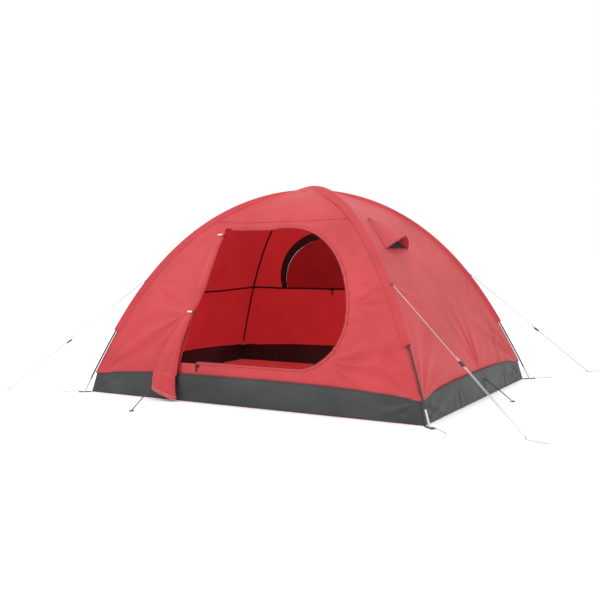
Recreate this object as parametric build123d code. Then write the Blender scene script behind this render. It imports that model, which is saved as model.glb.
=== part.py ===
"""Dome tent for two: bathtub floor, four walls on two crossing poles, a side door, a rear window and a vent.

The frame is millimetres with the origin on the ground under the peak, +X to the right of the door,
+Y to the back and +Z up. Both poles stand in vertical planes on the diagonals of the floor.
"""

import os
from math import atan2, cos, degrees, hypot, radians, sin, sqrt

from build123d import *

# Overall sizes
POLE_SPAN_X = 2100.0
POLE_SPAN_Y = 1540.0
POLE_RISE = 1120.0
TIP_REACH = 42.0
TUB_HEIGHT = 125.0
SHEET = 1.2
SEAM_GAP = 0.3
HEM_GAP = 0.9

# Poles: fibreglass tubes on an elastic cord, joined by steel ferrules, with an aluminium tip at each end
POLE_R = 4.25
POLE_BORE_R = 2.4
SHOCK_CORD_R = 1.6
SECTIONS = 6
ARCS_PER_HALF = 6
SECTION_GAP = 0.2
FERRULE_R = 5.4
FERRULE_LENGTH = 64.0
FIT = 0.1
TIP_R = 4.9
TIP_LENGTH = 82.0
TIP_PLUG = 6.0
PIN_R = 2.4
PIN_LENGTH = 9.0
TIP_LIFT = 1.4
SLEEVE_R = 9.0
SLEEVE_WALL = 1.0
SLEEVE_END_HEIGHT = 340.0

# Corner straps and eyelets
STRAP_WIDTH = 26.0
STRAP_THICK = 2.0
STRAP_TAIL = 34.0
EYELET_R = 9.0
EYELET_BORE_R = 3.8
EYELET_SEAT_R = 6.0
EYELET_RIM = 1.0
PEG_HOLE_R = 5.0
PEG_HOLE_REACH = 22.0

# Pegs: bent wire, lying on the ground
PEG_R = 2.0
PEG_LENGTH = 112.0
PEG_HEAD = 7.5
PEG_BEND = 3.6
PEG_CLEAR = 0.2

# Walls: the seams' heights
FRONT_SEAM = 953.0
WALL_SEAM = 530.0
WALL_TOP_SHARE = 0.05
CAP_LENGTH = 170.0
CAP_WIDTH = 126.0
CAP_RISE = 5.0
CAP_TOP_SHARE = 0.3

# Door: an opening with a straight top, sill and sewn edge, and a round free side
DOOR_TOP = 918.0
DOOR_SILL = 192.0
DOOR_SEWN_TOP = -335.0
DOOR_SEWN_FOOT = -405.0
DOOR_TOP_RUN_END = -30.0
DOOR_SILL_RUN_END = 330.0
DOOR_SIDE = 557.0
DOOR_SIDE_HEIGHT = 480.0
DOOR_SHOULDER = (405.0, 791.0)
DOOR_HEEL = (500.0, 283.0)
TAPE_WIDTH = 14.0

# Rolled door: half widths, half depths and the free edge at each height
ROLL_CLEAR = 0.6
ROLL_STEP = 40.0
ROLL = [  # height, free edge, half width, half depth
    (893.0, -318.0, 9.0, 8.0),
    (850.0, -302.0, 24.0, 17.0),
    (720.0, -297.0, 36.0, 25.0),
    (600.0, -302.0, 39.0, 26.0),
    (520.0, -328.0, 27.0, 19.0),
    (465.0, -357.0, 17.0, 15.0),
    (410.0, -368.0, 34.0, 22.0),
    (300.0, -382.0, 60.0, 25.0),
    (215.0, -381.0, 78.0, 26.0),
    (130.0, -376.0, 88.0, 26.0),
    (60.0, -368.0, 94.0, 24.0),
    (1.0, -358.0, 98.0, 22.0),
]
TIE_HEIGHTS = {"top": 872.0, "middle": 465.0}
TIE_WIDTH = 7.0
TIE_THICK = 2.0
TIE_CLEAR = 0.9
TOGGLE_R = 4.5
TOGGLE_LENGTH = 30.0
TOGGLE_GAP = 0.9
SHANK_R = 1.5
SHANK_GAP = 0.4

# Zip sliders, each with a pull that swings on a bar
SLIDER_LENGTH = 26.0
SLIDER_HEIGHT = 12.0
SLIDER_THICK = 5.0
BAR_R = 1.0
BAR_STANDOFF = 2.7
BAR_FIT = 0.08
EAR_GAP = 9.0
EAR_THICK = 2.0
PULL_WIDTH = 8.0
PULL_THICK = 1.4
PULL_LENGTH = 32.0
DOOR_PULL_LEAN = 10.0
DOOR_SLIDER_X = -290.0
WINDOW_SLIDER_X = -180.0

# Rear window: a half ellipse on the wall seam, with a black band and a fabric cover
WINDOW_HALF = 560.0
WINDOW_RISE = 385.0
WINDOW_FOOT = 533.0
BAND_WIDTH = 44.0
COVER_GAP = 0.8

# Vent in the right wall: a hood of two triangles held open by a strut
VENT_TOP = 957.0
VENT_FOOT = 795.0
VENT_MIDDLE = -137.0
VENT_HALF = 146.0
VENT_HEM = 4.0
HOOD_OUT = 45.0
HOOD_UP = 64.0
HOOD_LIFT = 1.2
STRUT_R = 2.6
STRUT_GAP = 2.5
STRUT_CLEAR = 0.5
STRUT_BELOW = 4.0
BARREL_LENGTH = 10.0

# Guy lines: where each meets the ground, and its runner
GUY_HEIGHT = 632.0
GUY_GROUND = {
    "front_left": (-1490.0, -925.0),
    "front_right": (1490.0, -810.0),
    "back_right": (1295.0, 1175.0),
    "back_left": (-1330.0, 1120.0),
}
CORD_R = 1.5
STRAND_GAP = 9.6
LOOP_HEIGHT = 7.0
TAB_WIDTH = 16.0
TAB_LENGTH = 30.0
TAB_THICK = 2.0
RUNNER_SHARE = 0.55
RUNNER_LENGTH = 34.0
RUNNER_WIDTH = 21.0
RUNNER_THICK = 7.0
RUNNER_FIT = 0.35
CORD_TAIL = 46.0
GUY_PEG_HEAD = 16.0

# Ground tethers: an elastic cord from the wall to a ring
TETHERS = {
    "front": ((-575.0, -1.0, 62.0), (-415.0, -1086.0)),
    "right": ((1.0, 80.0, 108.0), (1185.0, 5.0)),
}
TETHER_R = 2.6
TETHER_CLEAR = 0.7
RING_R = 10.0
RING_WIRE_R = 1.9

HALF_X = POLE_SPAN_X / 2
HALF_Y = POLE_SPAN_Y / 2
DIAGONAL = hypot(HALF_X, HALF_Y)
POLE_ANGLE = degrees(atan2(HALF_Y, HALF_X))
CROSSING = 2 * SLEEVE_R + SEAM_GAP
FLOOR_SHARE = (DIAGONAL - TIP_REACH) / DIAGONAL
FAR = 4 * POLE_SPAN_X

CORNERS = {  # name: pole, its end along the pole, and the signs of X and Y
    "front_left": ("a", -1, -1, -1),
    "back_right": ("a", 1, 1, 1),
    "front_right": ("b", 1, 1, -1),
    "back_left": ("b", -1, -1, 1),
}
POLES = {"a": (POLE_RISE, POLE_ANGLE), "b": (POLE_RISE + CROSSING, -POLE_ANGLE)}


def bent_rod(half_span, rise, steps=600):
    """Angle of a pinned, bent rod at equal steps from its tip to its top, and its half length.

    The bending grows with the height above the line through its ends.
    """

    def shape(tip_angle):
        angle, out, up, step = tip_angle, 0.0, 0.0, 0.006
        angles = [angle]
        while angle > 0:
            middle = angle - 0.5 * step * up
            out += step * cos(middle)
            up += step * sin(middle)
            angle -= step * up
            angles.append(max(angle, 0.0))
        return angles, out, up, step

    low, high = radians(20), radians(150)
    for _ in range(40):
        tip_angle = (low + high) / 2
        angles, out, up, step = shape(tip_angle)
        if up / out < rise / half_span:
            low = tip_angle
        else:
            high = tip_angle
    return angles, step * (len(angles) - 1) * half_span / out


class PoleLine:
    """A bent pole in the XZ plane as tangent arcs, measured along from one tip to the other."""

    def __init__(self, rise):
        angles, half_length = bent_rod(DIAGONAL, rise)
        self.arc = half_length / ARCS_PER_HALF
        last = len(angles) - 1
        turn = [angles[round(i * last / ARCS_PER_HALF)] for i in range(ARCS_PER_HALF + 1)]
        self.turn = turn + [-a for a in reversed(turn[:-1])]
        self.length = 2 * half_length
        reach = -self._walk(half_length)[0]
        self.scale = DIAGONAL / reach
        self.arc *= self.scale
        self.length *= self.scale
        self.start = (-DIAGONAL, TIP_LIFT)

    def _walk(self, s):
        """Place relative to the top of an unscaled line that starts at zero, as a distance walked back."""
        x, z = self._from_tip(s)
        return -x, z

    def _from_tip(self, s):
        x = z = 0.0
        left = s
        for a0, a1 in zip(self.turn, self.turn[1:]):
            run = min(left, self.arc)
            bend = (a0 - a1) / self.arc
            end = a0 - bend * run
            x += (sin(a0) - sin(end)) / bend
            z += (cos(end) - cos(a0)) / bend
            left -= run
            if left <= 0:
                break
        return x, z

    def at(self, s, inset=0.0):
        """Point at a length along the pole, moved in from it by inset."""
        x, z = self._from_tip(s)
        angle = self.angle(s)
        return (
            self.start[0] + x + inset * sin(angle),
            self.start[1] + z - inset * cos(angle),
        )

    def angle(self, s):
        i = min(int(s / self.arc), 2 * ARCS_PER_HALF - 1)
        share = s / self.arc - i
        return self.turn[i] * (1 - share) + self.turn[i + 1] * share

    def at_height(self, height, inset=0.0):
        """Length along the first half where the line reaches a height."""
        low, high = 0.0, self.length / 2
        for _ in range(50):
            middle = (low + high) / 2
            if self.at(middle, inset)[1] < height:
                low = middle
            else:
                high = middle
        return middle

    def path(self, s0, s1):
        """Wire of the arcs between two lengths along the pole."""
        stops = [s0] + [i * self.arc for i in range(1, 2 * ARCS_PER_HALF) if s0 + 1 < i * self.arc < s1 - 1]
        stops.append(s1)
        edges = []
        for a, b in zip(stops, stops[1:]):
            points = [self.at(s) for s in (a, (a + b) / 2, b)]
            edges.append(Edge.make_three_point_arc(*[Vector(x, 0, z) for x, z in points]))
        return Wire(edges)

    def tube(self, s0, s1, outer, inner=0.0):
        """Round tube or bar along the pole between two lengths."""
        path = self.path(s0, s1)
        plane = Plane(origin=path @ 0, z_dir=path % 0)
        section = plane * Circle(outer)
        if inner:
            section -= plane * Circle(inner)
        return sweep(section, path=path)


LINES = {name: PoleLine(rise) for name, (rise, _) in POLES.items()}
RIDGE_INSET = SLEEVE_R + SEAM_GAP


def ridge(share_from_tip):
    """Share of the diagonal and height of the canopy's ridge, at a share of the half pole from its tip."""
    line = LINES["a"]
    x, z = line.at(share_from_tip * line.length / 2, RIDGE_INSET)
    return -x / DIAGONAL, z


def wall_share(height):
    """Share of the diagonal at which the canopy stands at a height."""
    line = LINES["a"]
    return -line.at(line.at_height(height, RIDGE_INSET), RIDGE_INSET)[0] / DIAGONAL


def wall_y(height):
    """Distance of the front and back walls' outer faces from the middle."""
    return HALF_Y * wall_share(height)


def wall_x(height):
    return HALF_X * wall_share(height)


def on_pole(shape, pole):
    """Turn a shape made in the XZ plane into that pole's plane."""
    return shape.rotate(Axis.Z, POLES[pole][1])


def wedge(reach_x, reach_y, side):
    """Prism between the two diagonals on one side of the tent, clear of each by half the seam gap."""
    k = 1.5
    corner_x, corner_y = k * reach_x, k * reach_y
    back = SEAM_GAP / 2
    if side in ("front", "back"):
        sign = -1 if side == "front" else 1
        tip = (0, sign * back / cos(radians(POLE_ANGLE)))
        ends = [(x, sign * corner_y) for x in (-corner_x + back, corner_x - back)]
    else:
        sign = -1 if side == "left" else 1
        tip = (sign * back / sin(radians(POLE_ANGLE)), 0)
        ends = [(sign * corner_x, y) for y in (-corner_y + back, corner_y - back)]
    outline = Polyline(tip, *ends, close=True)
    return extrude(make_face(outline), POLE_SPAN_X)


def outward(side, along, out, height):
    """Point in the tent's frame from a distance along a side, a distance out and a height."""
    sign = -1 if side in ("front", "left") else 1
    if side in ("front", "back"):
        return Vector(along, sign * out, height)
    return Vector(sign * out, along, height)


def wall_piece(side, low, high):
    """Curved sheet of one side between two heights, or up to the peak when high is None."""
    half = HALF_Y if side in ("front", "back") else HALF_X
    line = LINES["a"]
    s0 = line.at_height(low, RIDGE_INSET)
    s1 = line.length / 2 * (1 - WALL_TOP_SHARE) if high is None else line.at_height(high, RIDGE_INSET)
    count = 7
    outer, inner = [], []
    for i in range(count):
        s = s0 + (s1 - s0) * i / (count - 1)
        x, z = line.at(s, RIDGE_INSET)
        share, angle = -x / DIAGONAL, line.angle(s)
        slope = atan2(sin(angle), cos(angle) * half / DIAGONAL)
        outer.append((half * share, z))
        inner.append((half * share - SHEET * sin(slope), z - SHEET * cos(slope)))
    rims = [[outward(side, 0, *p) for p in rim] for rim in (outer, inner)]
    top, under = Edge.make_spline(rims[0]), Edge.make_spline(rims[1])
    ends = [Edge.make_line(rims[0][i], rims[1][i]) for i in (0, -1)]
    face = Face(Wire([top, ends[1], under, ends[0]]))
    along = Vector(1, 0, 0) if side in ("front", "back") else Vector(0, 1, 0)
    sheet = extrude(face, amount=POLE_SPAN_X, dir=along, both=True)
    return sheet & wedge(HALF_X, HALF_Y, side)


def tub_wall(side):
    """Flat strip from the floor's edge up to the canopy's hem."""
    half = HALF_Y if side in ("front", "back") else HALF_X
    foot, head = half * FLOOR_SHARE, half * wall_share(TUB_HEIGHT + HEM_GAP)
    corners = [
        (foot, SHEET + SEAM_GAP),
        (head, TUB_HEIGHT),
        (head - SHEET, TUB_HEIGHT),
        (foot - SHEET, SHEET + SEAM_GAP),
    ]
    wire = Wire.make_polygon([outward(side, 0, *p) for p in corners])
    along = Vector(1, 0, 0) if side in ("front", "back") else Vector(0, 1, 0)
    return extrude(Face(wire), amount=POLE_SPAN_X, dir=along, both=True) & wedge(HALF_X, HALF_Y, side)


def front_prism(outline):
    """Prism through the front wall from an outline drawn in X and Z."""
    return extrude(Plane.XZ * make_face(outline), FAR / 4)


def back_prism(outline):
    return extrude(Plane.XZ * make_face(outline), -FAR / 4)


def door_outline():
    """Outline of the door opening in X and Z."""
    shoulder = ThreePointArc((DOOR_TOP_RUN_END, DOOR_TOP), DOOR_SHOULDER, (DOOR_SIDE, DOOR_SIDE_HEIGHT))
    heel = ThreePointArc((DOOR_SIDE, DOOR_SIDE_HEIGHT), DOOR_HEEL, (DOOR_SILL_RUN_END, DOOR_SILL))
    straight = Polyline(
        (DOOR_SILL_RUN_END, DOOR_SILL),
        (DOOR_SEWN_FOOT, DOOR_SILL),
        (DOOR_SEWN_TOP, DOOR_TOP),
        (DOOR_TOP_RUN_END, DOOR_TOP),
    )
    return Curve() + [shoulder, heel, straight]


def half_ellipse(half, rise):
    """Outline of a half ellipse on the window's foot."""
    bow = EllipticalCenterArc((0, WINDOW_FOOT), half, rise, start_angle=0, arc_size=180)
    return Curve() + [bow, Line((-half, WINDOW_FOOT), (half, WINDOW_FOOT))]


def canopy():
    """Every wall panel, the door's zip tape, and the window's band and cover."""
    parts = {}
    hem = TUB_HEIGHT + HEM_GAP
    front = wall_piece("front", hem, FRONT_SEAM - SEAM_GAP)
    opening = front_prism(door_outline())
    hole = extrude(Plane.XZ * offset(make_face(door_outline()), -TAPE_WIDTH), FAR / 4)
    sewn_side = front_prism(
        Polyline(
            (DOOR_SEWN_FOOT + TAPE_WIDTH, 0),
            (DOOR_SEWN_TOP + TAPE_WIDTH, 2 * DOOR_TOP),
            (FAR / 4, 2 * DOOR_TOP),
            (FAR / 4, 0),
            close=True,
        )
    )
    parts["front_panel"] = front - opening
    parts["door_zip_tape"] = ((front & opening) - hole) & sewn_side
    parts["front_top_panel"] = wall_piece("front", FRONT_SEAM, None)
    for side in ("back", "left"):
        parts[f"{side}_lower_panel"] = wall_piece(side, hem, WALL_SEAM - SEAM_GAP)
        parts[f"{side}_upper_panel"] = wall_piece(side, WALL_SEAM, None)
    upper = parts["back_upper_panel"]
    window = back_prism(half_ellipse(WINDOW_HALF, WINDOW_RISE))
    inner = back_prism(half_ellipse(WINDOW_HALF - BAND_WIDTH, WINDOW_RISE - BAND_WIDTH))
    gap = COVER_GAP
    cover = back_prism(half_ellipse(WINDOW_HALF - BAND_WIDTH - gap, WINDOW_RISE - BAND_WIDTH - gap))
    slot = Pos(0, FAR / 8, WINDOW_FOOT) * Box(FAR, FAR / 4, 2 * gap)
    parts["back_upper_panel"] = upper - window
    parts["window_band"] = (upper & window) - inner
    parts["window_cover"] = (upper & cover) - slot
    right = wall_piece("right", hem, None)
    vent = vent_prism(VENT_HEM)
    parts["right_panel"] = right - vent
    parts["vent_mesh"] = right & vent_prism(VENT_HEM + SEAM_GAP)
    return parts


def vent_prism(inset):
    """Prism through the right wall inside the hood's sewn edges."""
    top, foot = VENT_TOP - 2 * inset, VENT_FOOT + inset
    corners = [(VENT_MIDDLE - VENT_HALF + 2 * inset, foot), (VENT_MIDDLE + VENT_HALF - 2 * inset, foot)]
    wire = Wire.make_polygon([Vector(0, y, z) for y, z in [*corners, (VENT_MIDDLE, top)]])
    return extrude(Face(wire), amount=FAR / 4, dir=Vector(1, 0, 0))


def hood():
    """Vent hood: two triangles from its top to its lifted peak, standing just off the wall."""
    top = Vector(wall_x(VENT_TOP) + HOOD_LIFT, VENT_MIDDLE, VENT_TOP)
    feet = [
        Vector(wall_x(VENT_FOOT) + HOOD_LIFT, VENT_MIDDLE + sign * VENT_HALF, VENT_FOOT)
        for sign in (-1, 1)
    ]
    peak = Vector(wall_x(VENT_FOOT) + HOOD_OUT, VENT_MIDDLE, VENT_FOOT + HOOD_UP)
    return [Face(Wire.make_polygon([top, foot, peak])) for foot in feet], peak


def vent_hood():
    """The two triangles thickened, with their sewn edges clear of the bulging wall."""
    faces, _ = hood()
    shell = None
    for face in faces:
        out = face.normal_at().X
        piece = extrude(face, amount=SHEET * (-1 if out > 0 else 1), dir=face.normal_at())
        shell = piece if shell is None else shell + piece
    return shell - wall_volume()


def wall_volume():
    """Solid of the right wall's inside, a sheet and gap larger, which the hood stays out of."""
    line = LINES["a"]
    s0 = line.at_height(VENT_FOOT - 90, RIDGE_INSET)
    s1 = line.at_height(VENT_TOP + 60, RIDGE_INSET)
    points = []
    for i in range(9):
        s = s0 + (s1 - s0) * i / 8
        x, z = line.at(s, RIDGE_INSET - SEAM_GAP)
        points.append(Vector(-x / DIAGONAL * HALF_X, 0, z))
    rim = Edge.make_spline(points)
    inside = [Vector(0, 0, points[-1].Z), Vector(0, 0, points[0].Z)]
    rest = [
        Edge.make_line(points[-1], inside[0]),
        Edge.make_line(inside[0], inside[1]),
        Edge.make_line(inside[1], points[0]),
    ]
    face = Face(Wire([rim, *rest]))
    return extrude(face, amount=HALF_Y, dir=Vector(0, 1, 0), both=True)


def vent_strut():
    """Prop from the vent's foot to under the hood's peak, with a hinge barrel along Y at its foot."""
    _, peak = hood()
    height = VENT_FOOT - STRUT_BELOW
    line = LINES["a"]
    angle = line.angle(line.at_height(height, RIDGE_INSET))
    slope = atan2(sin(angle), cos(angle) * HALF_X / DIAGONAL)
    out = STRUT_R + STRUT_CLEAR
    foot = Vector(wall_x(height) + out * sin(slope), VENT_MIDDLE, height + out * cos(slope))
    reach = peak - foot
    rod = Solid.make_cylinder(STRUT_R, reach.length - STRUT_GAP - STRUT_R, Plane(origin=foot, z_dir=reach))
    barrel = Cylinder(STRUT_R, BARREL_LENGTH, rotation=(90, 0, 0))
    return rod + Pos(*foot) * barrel, foot


def poles():
    """Sections, ferrules, elastic cords, tips and sleeves of both poles."""
    parts = {"pole_ferrules": [], "shock_cords": [], "pole_tips": []}
    for name, line in LINES.items():
        first = PIN_LENGTH + TIP_PLUG + SECTION_GAP
        step = (line.length - 2 * first) / SECTIONS
        for i in range(SECTIONS):
            s0, s1 = first + i * step, first + (i + 1) * step
            tube = line.tube(s0 + SECTION_GAP / 2, s1 - SECTION_GAP / 2, POLE_R, POLE_BORE_R)
            parts[f"pole_{name}_section_{i + 1}"] = on_pole(tube, name)
            if i:
                half = FERRULE_LENGTH / 2
                ferrule = line.tube(s0 - half, s0 + half, FERRULE_R, POLE_R + FIT)
                parts["pole_ferrules"].append(on_pole(ferrule, name))
        inside = first - SECTION_GAP / 2
        cord = line.tube(inside, line.length - inside, SHOCK_CORD_R)
        parts["shock_cords"].append(on_pole(cord, name))
        tip = tip_of(line)
        parts["pole_tips"].append(on_pole(tip, name))
        parts["pole_tips"].append(on_pole(tip.mirror(Plane.YZ), name))
        s_end = line.at_height(SLEEVE_END_HEIGHT)
        sleeve = line.tube(s_end, line.length - s_end, SLEEVE_R, SLEEVE_R - SLEEVE_WALL)
        parts[f"sleeve_{name}"] = on_pole(sleeve, name)
    return parts


def tip_of(line):
    """Aluminium cap over the pole's end, with a pin for the eyelet."""
    shell = line.tube(PIN_LENGTH + TIP_PLUG, TIP_LENGTH, TIP_R, POLE_R + FIT)
    plug = line.tube(PIN_LENGTH, PIN_LENGTH + TIP_PLUG, TIP_R)
    pin = line.tube(0, PIN_LENGTH, PIN_R)
    return shell + plug + pin


def corner_strap():
    """Webbing strap from the floor's corner, with the eyelet's hole and a hole for the peg."""
    start = FLOOR_SHARE * DIAGONAL + SEAM_GAP + STRAP_WIDTH / 2
    length = DIAGONAL + STRAP_TAIL - start
    strap = Pos(start + length / 2, 0, STRAP_THICK / 2) * Box(length, STRAP_WIDTH, STRAP_THICK)
    nose = Pos(start, 0, STRAP_THICK / 2) * Box(STRAP_WIDTH, STRAP_WIDTH / 3, STRAP_THICK)
    seat = Pos(DIAGONAL, 0, 0) * Cylinder(EYELET_SEAT_R, 3 * STRAP_THICK)
    peg = Pos(DIAGONAL + PEG_HOLE_REACH, 0, 0) * Cylinder(PEG_HOLE_R, 3 * STRAP_THICK)
    return strap + nose - seat - peg


def eyelet():
    """Brass eyelet: a barrel through the strap and a rim on top of it."""
    bottom = Align.CENTER, Align.CENTER, Align.MIN
    barrel = Cylinder(EYELET_SEAT_R - FIT / 2, STRAP_THICK, align=bottom)
    rim = Pos(0, 0, STRAP_THICK) * Cylinder(EYELET_R, EYELET_RIM, align=bottom)
    bore = Cylinder(EYELET_BORE_R, 4 * STRAP_THICK)
    return Pos(DIAGONAL, 0, 0) * (barrel + rim - bore)


def wire_peg(points, bends):
    path = FilletPolyline(*points, radius=bends)
    plane = Plane(origin=path @ 0, z_dir=path % 0)
    return sweep(plane * Circle(PEG_R), path=path)


def corner_peg():
    """Peg hooked down through the strap's hole, its shaft lying outward on the ground."""
    x = DIAGONAL + PEG_HOLE_REACH + PEG_HOLE_R - PEG_R - SEAM_GAP
    points = [
        (x, 0, PEG_CLEAR),
        (x, 0, STRAP_THICK + PEG_HEAD),
        (x + PEG_LENGTH, 0, PEG_R + PEG_CLEAR),
    ]
    return wire_peg(points, PEG_BEND)


def corner_angle(name):
    """Angle of a corner's diagonal about Z."""
    _, _, sign_x, sign_y = CORNERS[name]
    return degrees(atan2(sign_y * HALF_Y, sign_x * HALF_X))


def guy_frame(name):
    """Foot on the ground, head at the tab, and the unit vectors along and across one guy line."""
    pole, end, sign_x, sign_y = CORNERS[name]
    line = LINES[pole]
    r, z = line.at(line.at_height(GUY_HEIGHT), -SLEEVE_R - SEAM_GAP)
    turn = radians(corner_angle(name))
    root = Vector(-r * cos(turn), -r * sin(turn), z)
    foot = Vector(*GUY_GROUND[name], LOOP_HEIGHT)
    along = (foot - root).normalized()
    head = root + along * TAB_LENGTH
    across = Vector(-along.Y, along.X, 0).normalized()
    return root, head, foot, along, across


def guy_tab(name):
    """Webbing tab on the sleeve that the line is tied to."""
    root, _, _, along, across = guy_frame(name)
    plane = Plane(origin=root + along * (TAB_LENGTH / 2), x_dir=along, z_dir=along.cross(across))
    tab = plane * Box(TAB_LENGTH, TAB_WIDTH, TAB_THICK)
    pole = CORNERS[name][0]
    line = LINES[pole]
    s = line.at_height(GUY_HEIGHT)
    clear = line.tube(s - 3 * TAB_WIDTH, s + 3 * TAB_WIDTH, SLEEVE_R + SEAM_GAP)
    if CORNERS[name][1] > 0:
        clear = clear.mirror(Plane.YZ)
    return tab - on_pole(clear, pole)


def guy_line(name):
    """Cord from the tab round its peg and back up through the runner."""
    _, head, foot, along, across = guy_frame(name)
    back = foot + across * STRAND_GAP
    runner_end = foot - along * ((foot - head).length * (1 - RUNNER_SHARE))
    top = runner_end + across * STRAND_GAP - along * CORD_TAIL
    radius = STRAND_GAP / 2 * 0.98
    path = FilletPolyline(head + along * 0.5, foot, back, top, radius=radius)
    print(f"guy_line_{name}: bend radii {radius:.2f} mm, length {path.length:.1f} mm")
    plane = Plane(origin=path @ 0, z_dir=path % 0)
    return sweep(plane * Circle(CORD_R), path=path)


def guy_runner(name):
    """Plastic runner with a hole for each strand."""
    _, head, foot, along, across = guy_frame(name)
    middle = foot - along * ((foot - head).length * (1 - RUNNER_SHARE)) + across * (STRAND_GAP / 2)
    plane = Plane(origin=middle, x_dir=across, z_dir=along)
    body = plane * Box(RUNNER_WIDTH, RUNNER_THICK, RUNNER_LENGTH)
    body = fillet(body.edges(), 2.2)
    for sign in (-1, 1):
        hole = Pos(sign * STRAND_GAP / 2, 0, 0) * Cylinder(CORD_R + RUNNER_FIT, 2 * RUNNER_LENGTH)
        body -= plane * hole
    return body


def guy_peg(name):
    """Peg that the loop goes round: a short head standing up, and a shaft lying outward."""
    _, _, foot, along, across = guy_frame(name)
    flat = Vector(along.X, along.Y, 0).normalized()
    base = foot + across * (STRAND_GAP / 2) - flat * (PEG_R + CORD_R + PEG_CLEAR)
    ground = PEG_R + PEG_CLEAR
    points = [
        Vector(base.X, base.Y, GUY_PEG_HEAD),
        Vector(base.X, base.Y, ground),
        Vector(base.X, base.Y, ground) + flat * PEG_LENGTH,
    ]
    return wire_peg(points, PEG_BEND)


def tether_ends(side):
    """Start on the tub wall and end at the ring, from the side's table."""
    (sx, sy, height), ground = TETHERS[side]
    share = wall_share(TUB_HEIGHT) + (FLOOR_SHARE - wall_share(TUB_HEIGHT)) * (1 - height / TUB_HEIGHT)
    end = Vector(*ground, RING_WIRE_R + PEG_CLEAR)
    normal = Vector(0, sy, 0) if side == "front" else Vector(sx, 0, 0)
    wall = Vector(sx, sy * HALF_Y * share, height) if side == "front" else Vector(sx * HALF_X * share, sy, height)
    facing = (end - wall).normalized().dot(normal)
    out = TETHER_CLEAR + TETHER_R * sqrt(1 - facing**2)
    return wall + normal * out, end


def tether(side):
    start, end = tether_ends(side)
    reach = end - start
    length = reach.length - RING_R - RING_WIRE_R - 0.3
    return Solid.make_cylinder(TETHER_R, length, Plane(origin=start, z_dir=reach))


def tether_ring(side):
    _, end = tether_ends(side)
    return Pos(end.X, end.Y, RING_WIRE_R + PEG_CLEAR) * Torus(RING_R, RING_WIRE_R)


def roll_section(height, edge, half_width, half_depth):
    """One level ellipse of the rolled door, standing clear of the wall behind it."""
    if height >= TUB_HEIGHT:
        wall = wall_y(height)
    else:
        low, high = HALF_Y * FLOOR_SHARE, wall_y(TUB_HEIGHT)
        wall = low + (high - low) * height / TUB_HEIGHT
    centre = (edge - half_width, -wall - half_depth - ROLL_CLEAR)
    return Pos(*centre, height) * Ellipse(half_width, half_depth), centre


def roll_at(height):
    """Free edge, half width and half depth of the door panel at a height, between its table's rows."""
    for (z1, *top), (z0, *low) in zip(ROLL, ROLL[1:]):
        if z0 <= height <= z1:
            share = (height - z0) / (z1 - z0)
            return [b + (a - b) * share for a, b in zip(top, low)]
    return ROLL[0][1:]


def door_panel():
    """The rolled door and its hanging end, following the wall in short level steps."""
    heights = [ROLL[-1][0]]
    for (z1, *_), (z0, *_) in reversed(list(zip(ROLL, ROLL[1:]))):
        count = max(1, round((z1 - z0) / ROLL_STEP))
        heights += [z0 + (z1 - z0) * (i + 1) / count for i in range(count)]
    return loft([roll_section(z, *roll_at(z))[0] for z in heights], ruled=True)


def tie_ring(height):
    """Centre and half sizes of a loop that clears the roll over the width of its tie."""
    levels = (height - TIE_WIDTH / 2, height, height + TIE_WIDTH / 2)
    sections = [(roll_at(z), roll_section(z, *roll_at(z))[1][1]) for z in levels]
    right = max(edge for (edge, _, _), _ in sections) + TIE_CLEAR
    left = min(edge - 2 * width for (edge, width, _), _ in sections) - TIE_CLEAR
    front = min(y - depth for (_, _, depth), y in sections) - TIE_CLEAR
    back = max(y + depth for (_, _, depth), y in sections) + TIE_CLEAR
    return (left + right) / 2, (front + back) / 2, (right - left) / 2, (back - front) / 2


def roll_tie(height):
    """Elastic loop round the roll's front, with both ends at the wall."""
    x, y, half_width, half_depth = tie_ring(height)
    ring = Ellipse(half_width + TIE_THICK, half_depth + TIE_THICK) - Ellipse(half_width, half_depth)
    band = extrude(Pos(x, y, height - TIE_WIDTH / 2) * ring, TIE_WIDTH)
    wall = -wall_y(height - TIE_WIDTH / 2) - SEAM_GAP
    return band & Pos(x, wall - DOOR_TOP / 2, height) * Box(DOOR_TOP, DOOR_TOP, 2 * TIE_WIDTH)


def toggle_place(height):
    """Middle of a toggle and its cord's direction, square to the front of the roll."""
    x, y, _, half_depth = tie_ring(height)
    low, high = (roll_section(z, *roll_at(z))[1][1] - roll_at(z)[2]
                 for z in (height - TOGGLE_LENGTH / 2, height + TOGGLE_LENGTH / 2))
    lean = atan2(high - low, TOGGLE_LENGTH)
    out = Vector(0, -cos(lean), sin(lean))
    stand_off = TIE_WIDTH / 2 * sin(lean) + TOGGLE_GAP + TOGGLE_R
    return Vector(x, y - half_depth - TIE_THICK, height) + out * stand_off, out


def toggle(height):
    """Barrel across the tie's front, on a short shank of cord that it turns about."""
    middle, out = toggle_place(height)
    barrel = Cylinder(TOGGLE_R, TOGGLE_LENGTH, rotation=(0, 90, 0))
    barrel = Pos(*middle) * fillet(barrel.edges(), 2)
    _, y, _, half_depth = tie_ring(height)
    reach = (y - half_depth - TIE_THICK - middle.Y - SHANK_R * out.Z) / -out.Y
    shank = Solid.make_cylinder(SHANK_R, reach - SHANK_GAP, Plane(origin=middle, z_dir=-out))
    return barrel + shank


def wall_slope(height):
    """Angle of the front and back walls from level at a height."""
    line = LINES["a"]
    angle = line.angle(line.at_height(height, RIDGE_INSET))
    return degrees(atan2(sin(angle), cos(angle) * HALF_Y / DIAGONAL))


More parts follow.
